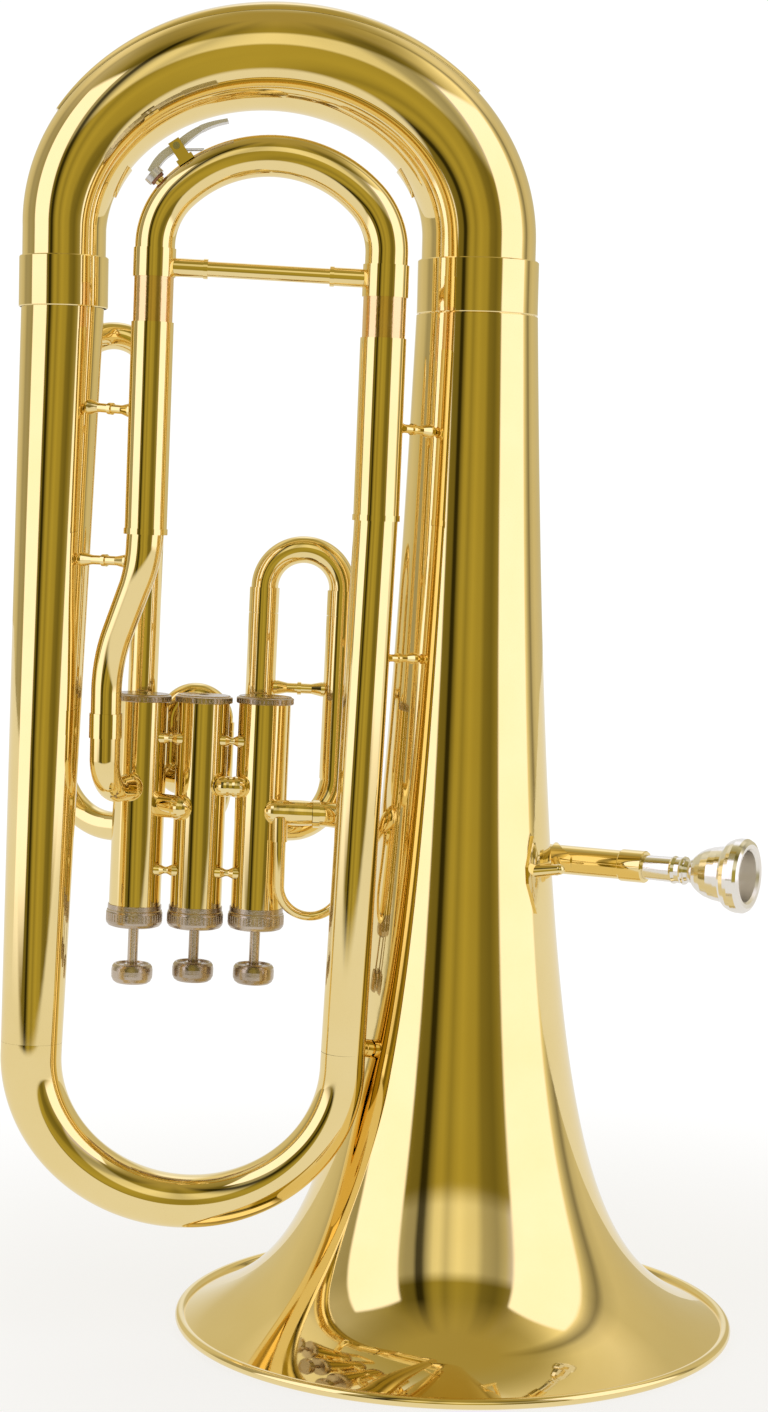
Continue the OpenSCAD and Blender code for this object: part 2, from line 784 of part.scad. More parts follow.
module top_caps() {
  s = casing_r + 0.05;
  color("silver")
    for (n = [1:3])
      at_valve(n)
        cap([[stem_r + 0.4, top_end], [11.4, top_end], [13, top_end + 0.6],
          [14, top_end + 1.9], [14.2, top_end + 3], [14.2, top_end + 7.2],
          [13.9, top_end + 7.8], [13.9, top_end + 8.4], [13.5, top_end + 8.8],
          [13.5, -49.2], [s, -49.2], [s, top_floor], [stem_r + 0.4, top_floor]],
          48, 14.2, top_end + 3.2, 3.8);
}

module bottom_caps() {
  s = casing_r + 0.05;
  color("silver")
    for (n = [1:3])
      at_valve(n)
        cap([[s, 53.8], [14.1, 53.8], [14.4, 54.1], [14.4, 56.5], [14.1, 56.8],
          [13.4, 57.1], [13, bottom_end], [2.5, bottom_end], [2.5, bottom_floor],
          [s, bottom_floor]], 48, 14.4, 54.4, 1.8);
}

// A hole straight through a piston between two of its ports.
module passage(n, a, b, drop) {
  p = ports[n - 1][a];
  q = ports[n - 1][b];
  rod(concat(polar(casing_bore + 1, p[0]), [p[1] - valve_rise[n - 1] - drop]),
    concat(polar(casing_bore + 1, q[0]), [q[1] - valve_rise[n - 1] - drop]), 4.1, 4.1);
}

module piston(n) {
  color("silver")
    at_valve(n)
      difference() {
        translate([0, 0, piston_z[0]])
          cylinder(h = piston_z[1] - piston_z[0], r = piston_r);
        passage(n, 0, 1, 0);
        passage(n, 0, 3, stroke);
        passage(n, 2, 1, stroke);
      }
}

module piston_1() {
  piston(1);
}
module piston_2() {
  piston(2);
}
module piston_3() {
  piston(3);
}

module piston_stem(n) {
  low = button_z[1] - button_drop[n - 1] - 3;
  color("silver")
    at_valve(n) {
      translate([0, 0, neck_z])
        cylinder(h = piston_z[0] - neck_z, r = 5);
      translate([0, 0, low])
        cylinder(h = neck_z - low, r = stem_r);
    }
}

module piston_stem_1() {
  piston_stem(1);
}
module piston_stem_2() {
  piston_stem(2);
}
module piston_stem_3() {
  piston_stem(3);
}

module finger_button(n) {
  h = button_z[1] - button_z[0];
  b = button_r;
  hole = stem_r + 0.02;
  color("silver")
    at_valve(n)
      translate([0, 0, button_z[0] - button_drop[n - 1]])
        rotate_extrude()
          polygon([[0, 0.7], [b - 4.4, 0.7], [b - 3.4, 0], [b - 2.2, 0.2], [b - 0.9, 1.2],
            [b - 0.1, 2.9], [b, 4.6], [b, h - 3.2], [b - 0.3, h - 1.5], [b - 1, h - 0.4],
            [b - 1.6, h], [b - 2.2, h - 0.1], [b - 2.6, h - 0.9], [4.4, h - 0.9],
            [3.8, h - 0.2], [hole, h - 0.2], [hole, h - 3.02], [0, h - 3.02]]);
}

module finger_button_1() {
  finger_button(1);
}
module finger_button_2() {
  finger_button(2);
}
module finger_button_3() {
  finger_button(3);
}

module piston_felt(n) {
  color("darkgreen")
    at_valve(n)
      translate([0, 0, neck_z - 3.2])
        difference() {
          cylinder(h = 3.15, r = 8);
          translate([0, 0, -1])
            cylinder(h = 6, r = stem_r + 0.1);
        }
}

module piston_felt_1() {
  piston_felt(1);
}
module piston_felt_2() {
  piston_felt(2);
}
module piston_felt_3() {
  piston_felt(3);
}

// Return spring between the piston and the bottom cap.
module piston_spring(n) {
  turns = 7;
  steps = 12;
  z = [piston_z[1] + 0.6, bottom_floor - 0.6];
  path = [for (i = [0:turns * steps]) concat(polar(7.2, 360 * i / steps),
    [mix(z[0], z[1], i / (turns * steps))])];
  color("silver")
    at_valve(n)
      solid_sweep(path, [for (p = path) 0.5], 5, [0, 0, 1]);
}

module piston_spring_1() {
  piston_spring(1);
}
module piston_spring_2() {
  piston_spring(2);
}
module piston_spring_3() {
  piston_spring(3);
}

// ================= valve slides =================
function leg_x(s, side) = side > 0 ? s[1] : s[1] - 2 * s[2];

module slide_bow(s) {
  color("gold")
    in_valves()
      translate([0, slide_y, 0]) {
        translate([s[1] - s[2], 0, s[3]])
          bend_xz(s[2], vslide_r, 0.6, 0, 180);
        for (side = [-1, 1])
          translate([leg_x(s, side), 0, 0])
            tune_tube(0, [s[3] - s[5], s[3]], vslide_r, 0.6);
      }
}

// Sleeve tubes that carry a slide and bend down into the casing.
module slide_sleeves(s) {
  ax = axis_x(s[0]);
  color("gold")
    in_valves()
      for (side = [-1, 1]) {
        x = leg_x(s, side);
        e = side > 0 ? s[6] : s[7];
        reach = norm([ax - x, slide_y]);
        difference() {
          union() {
            translate([x, slide_y, 0])
              tune_tube(0, [e[0] + e[1], s[4]], vsleeve_r, 0.65);
            translate([x, slide_y, e[0] + e[1]])
              rotate([0, 0, atan2(-slide_y, ax - x)]) {
                translate([e[1], 0, 0])
                  bend_xz(e[1], vsleeve_r - 0.3, 0.9, 180, 90);
                translate([e[1], 0, -e[1]])
                  rotate([0, 90, 0])
                    tune_tube(0, [0, reach - e[1] - 4], vsleeve_r - 0.3, 0.9);
              }
          }
          translate([ax, 0, -60])
            cylinder(h = 120, r = casing_r + eps);
        }
      }
}

module slide_ferrules(s) {
  color("gold")
    in_valves()
      translate([0, slide_y, 0])
        for (side = [-1, 1])
          translate([leg_x(s, side), 0, 0])
            tune_tube(0, [s[4] + 0.3, s[3] - 0.3], vsleeve_r, 0.69);
}

module slide_1_bow() {
  slide_bow(slides[0]);
}
module slide_1_sleeves() {
  slide_sleeves(slides[0]);
}
module slide_1_ferrules() {
  slide_ferrules(slides[0]);
}
module slide_2_bow() {
  slide_bow(slides[1]);
}
module slide_2_sleeves() {
  slide_sleeves(slides[1]);
}
module slide_2_ferrules() {
  slide_ferrules(slides[1]);
}
module slide_3_bow() {
  slide_bow(slides[2]);
}
module slide_3_sleeves() {
  slide_sleeves(slides[2]);
}
module slide_3_ferrules() {
  slide_ferrules(slides[2]);
}

module slide_brace() {
  p = [leg_x(slides[0], -1), slide_y, 61.5];
  q = [leg_x(slides[0], 1), slide_y, 61.5];
  color("gold")
    in_valves()
      difference() {
        strut(p, q, vsleeve_r, vsleeve_r, 3.7, 2.6);
        for (e = [p, q])
          translate(e - [0, 0, 10])
            cylinder(h = 20, r = vsleeve_r + eps);
      }
}

// ================= leadpipe and mouthpiece =================
module leadpipe() {
  color("gold")
    hollow_sweep(pipe_path, [for (p = pipe_path) pipe_r], wall, 18, [0, 0, 1]);
}

module receiver() {
  s0 = receiver_s[0];
  s1 = receiver_s[1];
  taper = 25.6;
  color("gold")
    turned([line_xy(0)[0], line_xy(0)[1], receiver_z], mouth_dir, [[s0, pipe_r + 0.1],
      [s0, 7.1], [s0 + 0.4, 7.4], [s1 - 13.5, 7.3], [s1 - 13.2, 7.9], [s1 - 12.6, 8.1],
      [s1 - 0.6, 8.1], [s1, 7.7], [s1, 6.1 + fit], [s1 - taper, 5.2 + fit],
      [s1 - taper, pipe_r - wall], [s0 + 24, pipe_r - wall], [s0 + 24, pipe_r + 0.1]]);
}

module mouthpiece() {
  l = mouth_len;
  r = rim_r;
  outside = [[-25, 5.2], [0, 6.1], [14.5, 6.35], [14.9, 6.9], [15.8, 7.05], [17.4, 6.5],
    [19.8, 6.6], [20.9, 7.15], [21.8, 6.9], [22.3, 5.9], [23.8, 5.5], [25.6, 6.3],
    [27.8, 8.7], [30, 10.4], [33, 12], [37, 13.2], [41, 13.8], [43.6, 14.1],
    [44.2, 15.7], [45.6, 17], [48, r - 0.4], [50, r], [l - 2.4, r], [l - 0.8, r - 0.9],
    [l, r - 2.6]];
  inside = [[l - 0.3, 13.9], [l - 1.7, 12.9], [l - 5, 12.6], [l - 11, 12.2], [l - 17, 10.8],
    [l - 22, 8.6], [l - 26, 5.8], [l - 28.5, 3.6], [l - 31, 3.2], [10, 3.4], [0, 4],
    [-25, 4.6]];
  color("silver")
    turned(mouth_p, mouth_dir, concat(outside, inside));
}

// Diamond foot on the bell, a post, a strut past the bell's side and a diamond on the pipe.
module leadpipe_brace() {
  a = -40.5;
  foot_r = bell_r(receiver_z);
  knee = [46.2, -30, receiver_z + 3];
  grip_s = 26;
  grip = line_pt(grip_s);
  grip_side = unit(knee - grip);
  color("gold")
    difference() {
      union() {
        intersection() {
          rotate([0, 0, a])
            translate([foot_r - 8, 0, receiver_z])
              rotate([0, 90, 0])
                linear_extrude(height = 20)
                  polygon([[-19, 0], [-4, 5], [4, 5], [19, 0], [4, -5], [-4, -5]]);
          rotate_extrude()
            polygon(concat([for (z = [205:6:259]) bell_pt(z, 1.1)], [[20, 260], [20, 204]]));
        }
        rod(concat(polar(foot_r - 3, a), [receiver_z + 1]), knee, 3.4, 2.5);
        translate(knee)
          sphere(2.6);
        rod(knee, grip, 2, 2);
        intersection() {
          rod(grip - mouth_dir * 12, grip + mouth_dir * 12, 8.6, 8.6);
          translate(grip)
            rotate([0, 90, atan2(grip_side[1], grip_side[0])])
              linear_extrude(height = 20)
                polygon([[-9, 0], [0, 11], [9, 0], [0, -11]]);
        }
      }
      rotate_extrude()
        polygon(concat([for (z = [199:6:265]) bell_pt(z, eps)], [[0, 268], [0, 196]]));
      rod(grip - mouth_dir * 14, grip + mouth_dir * 14, 7.4 + eps, 7.4 + eps);
    }
}

// ================= thumb ring and braces =================
thumb_x = [-92.1, -60.4];
module thumb_ring() {
  mid = (thumb_x[0] + thumb_x[1]) / 2;
  big = (thumb_x[1] - thumb_x[0]) / 2;
  low = 220;
  y0 = -3.4;
  y1 = 3;
  ball = valve_pt(pipe_ball);
  path = concat([[thumb_x[0], y0, 244], [thumb_x[0], y0, 236]],
    [for (a = [180:15:360]) [mid + big * cos(a), mix(y0, y1, (a - 180) / 180),
      low + big * sin(a)]],
    [[thumb_x[1], y1, 236], [thumb_x[1], y1, 246.2]]);
  n = len(path) - 1;
  color("gold") {
    solid_sweep(path, [for (i = [0:n]) 2.3 + pow(1 - 2 * i / n, 2)], 14, [0, 1, 0]);
    difference() {
      rod([thumb_x[0], y0, 241.8], [thumb_x[0], y0, 254], 3.9, 3.9);
      rod([thumb_x[0], y0, 239], [thumb_x[0], y0, 244.3], 3.32, 3.32);
      translate(ball)
        sphere(pipe_ball_r + eps);
      rod(ball, ball + [30, 0, -0.73], 6.4 + eps, 6.4 + eps);
    }
  }
}

module tube_braces() {
  left_d = unit(left_foot - left_top);
  function on_left(z) = left_top + left_d * (left_top[2] - z);
  color("gold") {
    // left branch to the tuning sleeve, and to the crook
    difference() {
      union() {
        strut(on_left(456), tune_pt(-tune_half, -79), 19, sleeve_l_r, 3.7, 2.2);
        strut(on_left(381), [-160.6, -45.9, 380.5], 18, 6.5, 3.4, 2.3);
      }
      rod(left_top, left_foot, left_branch_r + eps, left_foot_r + eps);
      rod(tune_pt(-tune_half, -136), tune_pt(-tune_half, -40), sleeve_l_r + eps,
        sleeve_l_r + eps);
      for (i = [0:5])
        rod(crook_path[i], crook_path[i + 1], crook_rad[i] + 2 * eps, crook_rad[i + 1] + 2 * eps);
    }
    // tuning sleeve and right branch to the bell
    difference() {
      union() {
        strut(tune_pt(tune_half, -81), [0, 0, 445.5], sleeve_r_r, bell_r(445.5), 3.4, 2.1);
        strut([-50.8, -44.6, 337], [0, 0, 335], 10.7, bell_r(335), 2.8, 1.8);
        strut([-58, -39.9, 147], [0, 0, 133], 10.9, 58, 4.5, 3.5);
      }
      rod(tune_pt(tune_half, -125), tune_pt(tune_half, -40), sleeve_r_r + eps,
        sleeve_r_r + eps);
      rod(right_foot - [0, 0, 8], right_top, right_foot_r + eps, leg_r_r + 0.2 + eps);
      rotate_extrude()
        polygon(concat([for (z = [100:8:480]) bell_pt(z, eps)], [[0, 480], [0, 100]]));
    }
  }
}

bell();
bell_rim_wire();
bell_ferrule();
big_bow();
bow_guard();
bow_ferrule();
left_branch();
lower_bow();
right_branch();
collars();
tuning_sleeves();
tuning_bow();
tuning_legs();
tuning_ferrules();
tuning_brace();
water_key_saddle();
water_key_lever();
water_key_cork();
water_key_pin();
water_key_spring();
crook();
valve_casing_1();
valve_casing_2();
valve_casing_3();
valve_knuckles();
casing_posts();
top_caps();
bottom_caps();
piston_1();
piston_2();
piston_3();
piston_stem_1();
piston_stem_2();
piston_stem_3();
finger_button_1();
finger_button_2();
finger_button_3();
piston_felt_1();
piston_felt_2();
piston_felt_3();
piston_spring_1();
piston_spring_2();
piston_spring_3();
slide_1_bow();
slide_1_sleeves();
slide_1_ferrules();
slide_2_bow();
slide_2_sleeves();
slide_2_ferrules();
slide_3_bow();
slide_3_sleeves();
slide_3_ferrules();
slide_brace();
leadpipe();
receiver();
leadpipe_brace();
mouthpiece();
thumb_ring();
tube_braces();
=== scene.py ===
"""Looks for the euphonium: smooth tubes, polished metals and a studio round the CAD frame.

The instrument's sizes are millimetres in the CAD frame, and MM turns them into metres. The
materials' and the studio's sizes are metres.
"""
import json
import math

import bpy
from mathutils import Matrix, Vector


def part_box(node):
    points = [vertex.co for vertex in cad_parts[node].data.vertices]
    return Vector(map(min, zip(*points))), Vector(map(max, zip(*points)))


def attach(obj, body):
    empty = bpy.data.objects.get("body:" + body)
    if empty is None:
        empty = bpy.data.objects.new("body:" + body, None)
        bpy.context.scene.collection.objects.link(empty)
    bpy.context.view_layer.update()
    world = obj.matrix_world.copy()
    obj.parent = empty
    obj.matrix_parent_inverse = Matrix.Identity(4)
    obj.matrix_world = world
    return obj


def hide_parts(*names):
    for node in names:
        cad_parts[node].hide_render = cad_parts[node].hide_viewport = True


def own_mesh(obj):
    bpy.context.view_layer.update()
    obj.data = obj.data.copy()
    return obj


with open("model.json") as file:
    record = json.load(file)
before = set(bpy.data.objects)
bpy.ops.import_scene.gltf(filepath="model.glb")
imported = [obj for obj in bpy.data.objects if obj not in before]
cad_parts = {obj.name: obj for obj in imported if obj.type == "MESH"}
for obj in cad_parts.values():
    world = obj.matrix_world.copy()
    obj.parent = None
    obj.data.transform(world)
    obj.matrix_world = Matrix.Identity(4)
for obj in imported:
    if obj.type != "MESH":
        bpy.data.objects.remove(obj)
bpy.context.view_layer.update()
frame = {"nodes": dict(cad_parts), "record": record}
nodes = frame["nodes"]

MM = 0.001


# ---------------------------------------------------------------- meshes
def add_object(name, data):
    thing = bpy.data.objects.new(name, data)
    bpy.context.scene.collection.objects.link(thing)
    return thing


def new_piece(name, verts, faces, material, body, replaced=(), sharp=32):
    """A mesh from points in mm, smooth except where its faces turn sharply."""
    mesh = bpy.data.meshes.new(name)
    mesh.from_pydata([tuple(c * MM for c in v) for v in verts], [], faces)
    mesh.validate()
    mesh.polygons.foreach_set("use_smooth", [True] * len(mesh.polygons))
    mesh.set_sharp_from_angle(angle=math.radians(sharp))
    mesh.materials.append(material)
    piece = add_object(name, mesh)
    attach(piece, body)
    if replaced:
        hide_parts(*replaced)
    return piece


def grid_faces(rows, columns, first=0, flip=False):
    """Quads between rings of points; the last column joins the first."""
    faces = []
    for i in range(rows - 1):
        for k in range(columns):
            a = first + i * columns + k
            b = first + i * columns + (k + 1) % columns
            quad = (a, a + columns, b + columns, b)
            faces.append(quad[::-1] if flip else quad)
    return faces


def ring_points(path, radii, sides, side):
    """Rings of points round a path; side is a direction that the path never runs along."""
    points = []
    last = len(path) - 1
    for i, (centre, radius) in enumerate(zip(path, radii)):
        tangent = (path[min(i + 1, last)] - path[max(i - 1, 0)]).normalized()
        u = side.cross(tangent).normalized()
        v = tangent.cross(u)
        for k in range(sides):
            a = 2 * math.pi * k / sides
            points.append(centre + radius * (math.cos(a) * u + math.sin(a) * v))
    return points


def hollow_sweep(path, radii, wall, sides, side):
    """Points and faces of a tube with a wall, closed at its ends by the wall's own edge."""
    rows = len(path)
    outer = ring_points(path, radii, sides, side)
    inner = ring_points(path, [r - wall for r in radii], sides, side)
    first = rows * sides
    faces = grid_faces(rows, sides, flip=True) + grid_faces(rows, sides, first)
    for row, flip in ((0, True), (rows - 1, False)):
        for k in range(sides):
            a = row * sides + k
            b = row * sides + (k + 1) % sides
            quad = (a, b, first + b, first + a)
            faces.append(quad[::-1] if flip else quad)
    return outer + inner, faces


def solid_sweep(path, radii, sides, side):
    """Points and faces of a solid rod, closed by a flat face at each end."""
    rows = len(path)
    points = ring_points(path, radii, sides, side)
    faces = grid_faces(rows, sides, flip=True)
    faces.append(tuple(reversed(range(sides))))
    faces.append(tuple(range((rows - 1) * sides, rows * sides)))
    return points, faces


def turned(profile, segments, origin=(0, 0, 0), axis=(0, 0, 1)):
    """A closed outline of (radius, height) turned about an axis."""
    turn = Vector((0, 0, 1)).rotation_difference(Vector(axis)).to_matrix()
    start = Vector(origin)
    points, faces = [], []
    count = len(profile)
    for k in range(segments):
        a = 2 * math.pi * k / segments
        for r, z in profile:
            points.append(start + turn @ Vector((r * math.cos(a), r * math.sin(a), z)))
    for k in range(segments):
        for i in range(count):
            j = (i + 1) % count
            after = (k + 1) % segments
            faces.append((k * count + i, after * count + i, after * count + j, k * count + j))
    return points, faces


def mix(a, b, t):
    return a + (b - a) * t


def smooth_step(t):
    return t * t * (3 - 2 * t)


def clamp(t):
    return min(max(t, 0.0), 1.0)


# ---------------------------------------------------------------- materials
# A Mix node has sockets for every type of value: the places of each type's two inputs and output.
MIX_SOCKETS = {"FLOAT": (2, 3, 0), "RGBA": (6, 7, 2)}


def new_material(name):
    material = bpy.data.materials.new(name)
    material.use_nodes = True
    tree = material.node_tree
    return material, tree, tree.nodes["Principled BSDF"]


def feed(tree, socket, value):
    """Links a socket to another socket, or sets it to a number or a colour."""
    if isinstance(value, bpy.types.NodeSocket):
        tree.links.new(value, socket)
    else:
        socket.default_value = value


def noise(tree, coords, scale, detail, roughness=0.55):
    node = tree.nodes.new("ShaderNodeTexNoise")
    node.inputs["Scale"].default_value = scale
    node.inputs["Detail"].default_value = detail
    node.inputs["Roughness"].default_value = roughness
    tree.links.new(coords, node.inputs["Vector"])
    return node.outputs["Fac"]


def ramp(tree, value, stops):
    """A colour ramp: stops are (place, colour) pairs."""
    node = tree.nodes.new("ShaderNodeValToRGB")
    elements = node.color_ramp.elements
    while len(elements) < len(stops):
        elements.new(0.5)
    for element, (place, colour) in zip(elements, stops):
        element.position = place
        element.color = (*colour, 1)
    tree.links.new(value, node.inputs["Fac"])
    return node.outputs["Color"]


def grey(value):
    return (value, value, value)


def bumped(tree, height, strength, distance, under=None):
    """The normal of a bump, laid over another bump's normal if there is one."""
    node = tree.nodes.new("ShaderNodeBump")
    node.inputs["Strength"].default_value = strength
    node.inputs["Distance"].default_value = distance
    tree.links.new(height, node.inputs["Height"])
    if under:
        tree.links.new(under, node.inputs["Normal"])
    return node.outputs["Normal"]


def calc(tree, operation, *values):
    """A Math node on sockets or numbers."""
    node = tree.nodes.new("ShaderNodeMath")
    node.operation = operation
    for socket, value in zip(node.inputs, values):
        feed(tree, socket, value)
    return node.outputs["Value"]


def map_range(tree, value, low, high, to_low=0, to_high=1, kind="LINEAR"):
    node = tree.nodes.new("ShaderNodeMapRange")
    node.interpolation_type = kind
    for name, number in (("From Min", low), ("From Max", high), ("To Min", to_low), ("To Max", to_high)):
        node.inputs[name].default_value = number
    tree.links.new(value, node.inputs["Value"])
    return node.outputs["Result"]


def mix_node(tree, kind, share, low, high):
    """A value or colour between low and high."""
    node = tree.nodes.new("ShaderNodeMix")
    node.data_type = kind
    low_at, high_at, out_at = MIX_SOCKETS[kind]
    for place, value in ((0, share), (low_at, low), (high_at, high)):
        feed(tree, node.inputs[place], value)
    return node.outputs[out_at]


def metal(name, base, shade, rough, wave=0.02, coat=0.0, grain=0.0, patina=None, metallic=1.0):
    """Polished metal: two shades of colour, uneven polish, and the faint waves of hand work."""
    cloud_scale, smear_scale, wave_scale, grain_scale = 22, 90, 38, 900
    material, tree, shader = new_material(name)
    coords = tree.nodes.new("ShaderNodeTexCoord").outputs["Object"]
    shader.inputs["Metallic"].default_value = metallic
    shader.inputs["Coat Weight"].default_value = coat
    shader.inputs["Coat Roughness"].default_value = 0.03
    stops = [(0.35, base), (0.7, shade)]
    if patina:
        stops.append((0.82, patina))
    tree.links.new(ramp(tree, noise(tree, coords, cloud_scale, 4), stops), shader.inputs["Base Color"])
    polish = ramp(tree, noise(tree, coords, smear_scale, 5, 0.65),
                  [(0.35, grey(rough[0])), (0.75, grey(rough[1]))])
    tree.links.new(polish, shader.inputs["Roughness"])
    waves = bumped(tree, noise(tree, coords, wave_scale, 2), wave, 0.002)
    grains = bumped(tree, noise(tree, coords, grain_scale, 4), grain, 0.0002, waves)
    tree.links.new(grains, shader.inputs["Normal"])
    return material


BRASS = metal("lacquered_brass", (0.93, 0.76, 0.38), (0.91, 0.73, 0.34), (0.02, 0.07), wave=0.012, coat=0.06)
ROSE = metal("rose_brass", (0.92, 0.68, 0.38), (0.90, 0.62, 0.32), (0.08, 0.2), grain=0.1)
NICKEL = metal("nickel_silver", (0.62, 0.53, 0.44), (0.40, 0.32, 0.24), (0.16, 0.34), wave=0.05, grain=0.35,
               patina=(0.22, 0.16, 0.10))
SILVER = metal("silver_plate", (0.80, 0.79, 0.80), (0.66, 0.65, 0.66), (0.2, 0.36), metallic=0.5)
STEEL = metal("spring_steel", (0.55, 0.55, 0.56), (0.45, 0.45, 0.46), (0.2, 0.3), grain=0.1)
MOUTHPIECE = metal("silver_plate_mouthpiece", (0.92, 0.89, 0.85), (0.84, 0.81, 0.76), (0.08, 0.2))


def satin_cup(material, axis_height, axis_offset, heading, satin):
    """Makes metal satin where it faces a level axis, as a mouthpiece's cup does. The axis stands
    axis_offset metres from the Z axis, and heading is the direction from Z to it, in radians."""
    inside_from, inside_to = 0.0004, -0.0012
    tree = material.node_tree
    roughness = tree.nodes["Principled BSDF"].inputs["Roughness"]
    geometry = tree.nodes.new("ShaderNodeNewGeometry")
    across = (math.cos(heading), math.sin(heading), 0)
    products = []
    for direction, start in ((across, axis_offset), ((0, 0, 1), axis_height)):
        lengths = []
        for output in ("Position", "Normal"):
            dot = tree.nodes.new("ShaderNodeVectorMath")
            dot.operation = "DOT_PRODUCT"
            tree.links.new(geometry.outputs[output], dot.inputs[0])
            dot.inputs[1].default_value = direction
            lengths.append(dot.outputs["Value"])
        products.append(calc(tree, "MULTIPLY", calc(tree, "SUBTRACT", lengths[0], start), lengths[1]))
    inside = map_range(tree, calc(tree, "ADD", *products), inside_from, inside_to)
    polish = roughness.links[0].from_socket
    tree.links.new(mix_node(tree, "FLOAT", inside, polish, satin), roughness)


def soft_matter(name, light, dark, scale, bump_height):
    """Cork and felt: speckled, rough and uneven."""
    material, tree, shader = new_material(name)
    coords = tree.nodes.new("ShaderNodeTexCoord").outputs["Object"]
    speck = noise(tree, coords, scale, 8, 0.7)
    tree.links.new(ramp(tree, speck, [(0.3, dark), (0.65, light)]), shader.inputs["Base Color"])
    shader.inputs["Roughness"].default_value = 0.9
    tree.links.new(bumped(tree, speck, 0.6, bump_height), shader.inputs["Normal"])
    return material


CORK = soft_matter("cork", (0.50, 0.26, 0.17), (0.24, 0.10, 0.06), 900, 0.0003)
FELT = soft_matter("felt", (0.16, 0.20, 0.16), (0.07, 0.09, 0.07), 1500, 0.0004)
SLOT_MATERIALS = {"lacquered_brass": BRASS, "rose_brass": ROSE, "nickel_silver": NICKEL,
                  "silver_plate": SILVER, "spring_steel": STEEL, "cork": CORK, "felt": FELT}


def dress_nodes():
    """Gives every CAD node its material and smooth shading."""
    for part in frame["record"]["subparts"]:
        mesh = nodes[part["node"]].data
        mesh.materials.clear()
        mesh.materials.append(SLOT_MATERIALS[part["material_slot"]])
        mesh.polygons.foreach_set("use_smooth", [True] * len(mesh.polygons))
        mesh.set_sharp_from_angle(angle=math.radians(30))
    nodes["mouthpiece"].data.materials[0] = MOUTHPIECE


dress_nodes()


# ---------------------------------------------------------------- bell and branches
WALL = 0.7
RIM_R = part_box("bell")[1].x / MM
BEAD_R, BEAD_Z = 2.6, 2.4
WIRE_R = 1.6
# The bell's radius falls with height by a power law from the rim, less an even taper.
FLARE, FLARE_Z, FLARE_POWER, TAPER = 20.0, 1.6, 0.446, 0.0052
TAIL_Z, JOINT_Z, NECK_R = 504.0, 518.0, 28.6


def bell_r(z):
    """The sheet's outer radius at a height."""
    return RIM_R * (1 + (z - FLARE_Z) / FLARE) ** -FLARE_POWER - TAPER * z


def bell_point(z, off):
    """A point on the bell's outline, off the sheet by a distance along its normal."""
    slope = (bell_r(z + 0.05) - bell_r(z - 0.05)) / 0.1
    n = math.hypot(1, slope)
    return bell_r(z) + off / n, z - off * slope / n


def bell_piece():
    """The flared sheet, its rolled bead with the wire's space inside, and its neck."""
    bead = (RIM_R - BEAD_R, BEAD_Z)
    around, rows, crowding, bead_steps, wire_steps = 256, 150, 2.2, 28, 16

    def meets_bead(off):
        low, high = FLARE_Z + 0.2, FLARE_Z + 8
        for _ in range(40):
            z = (low + high) / 2
            r, h = bell_point(z, off)
            inside = math.hypot(r - bead[0], h - bead[1]) < BEAD_R
            low, high = (z, high) if inside else (low, z)
        return low

    def side(off):
        """Rows from the bead to the tail, closer together where the bell flares."""
        foot = meets_bead(off)
        return [bell_point(mix(foot, TAIL_Z, (i / rows) ** crowding), off) for i in range(rows + 1)]

    outer, inner = side(0), side(-WALL)[::-1]
    neck = [(NECK_R, TAIL_Z + 0.3), (NECK_R, JOINT_Z), (NECK_R - WALL, JOINT_Z),
            (NECK_R - WALL, TAIL_Z - 0.6)]
    start = math.atan2(inner[-1][1] - bead[1], inner[-1][0] - bead[0]) % (2 * math.pi)
    end = math.atan2(outer[0][1] - bead[1], outer[0][0] - bead[0]) + 2 * math.pi
    curl = []
    for i in range(1, bead_steps):
        a = mix(start, end, i / bead_steps)
        curl.append((bead[0] + BEAD_R * math.cos(a), max(0, bead[1] + BEAD_R * math.sin(a))))
    verts, faces = turned(outer + neck + inner + curl, around)
    cavity = []
    for i in range(wire_steps):
        a = -2 * math.pi * i / wire_steps
        cavity.append((bead[0] + (WIRE_R + 0.05) * math.cos(a), bead[1] + (WIRE_R + 0.05) * math.sin(a)))
    hollow, hollow_faces = turned(cavity, around)
    faces += [tuple(i + len(verts) for i in face) for face in hollow_faces]
    return new_piece("bell_sheet", verts + hollow, faces, BRASS, "euphonium", ["bell"])


BIG_BOW_END = Vector((-202.2, -15.0, 0))
BIG_BOW_Z, BIG_BOW_TOP = 541.0, 626.5
BIG_BOW_R, LEFT_TOP_R, BIG_BOW_TAPER = 28.1, 20.3, 2.6


def half_turn(start, end, t):
    """A place between two ends as a half circle seen from the side takes it."""
    return mix(start, end, (1 - math.cos(math.pi * t)) / 2)


def big_bow_line(t):
    """Centre and radius of the big bow: t runs from the bell to the left branch."""
    z = BIG_BOW_Z + (BIG_BOW_TOP - BIG_BOW_Z) * math.sin(math.pi * t)
    radius = BIG_BOW_R - BIG_BOW_TAPER * t - (BIG_BOW_R - BIG_BOW_TAPER - LEFT_TOP_R) * t * t
    return Vector((half_turn(0, BIG_BOW_END.x, t), half_turn(0, BIG_BOW_END.y, t), z)), radius


def big_bow_piece():
    """The big bow with the straight stretch at each end that its ferrules hold."""
    count = 130
    line = [big_bow_line(i / count) for i in range(count + 1)]
    path = [Vector((0, 0, z)) for z in (JOINT_Z + 1, 530)] + [p for p, _ in line]
    path += [Vector((BIG_BOW_END.x, BIG_BOW_END.y, z)) for z in (529, 516.2)]
    radii = [BIG_BOW_R, BIG_BOW_R] + [r for _, r in line] + [LEFT_TOP_R, LEFT_TOP_R]
    verts, faces = hollow_sweep(path, radii, WALL, 112, Vector((0, 1, 0)))
    return new_piece("big_bow_tube", verts, faces, BRASS, "euphonium", ["big_bow"])


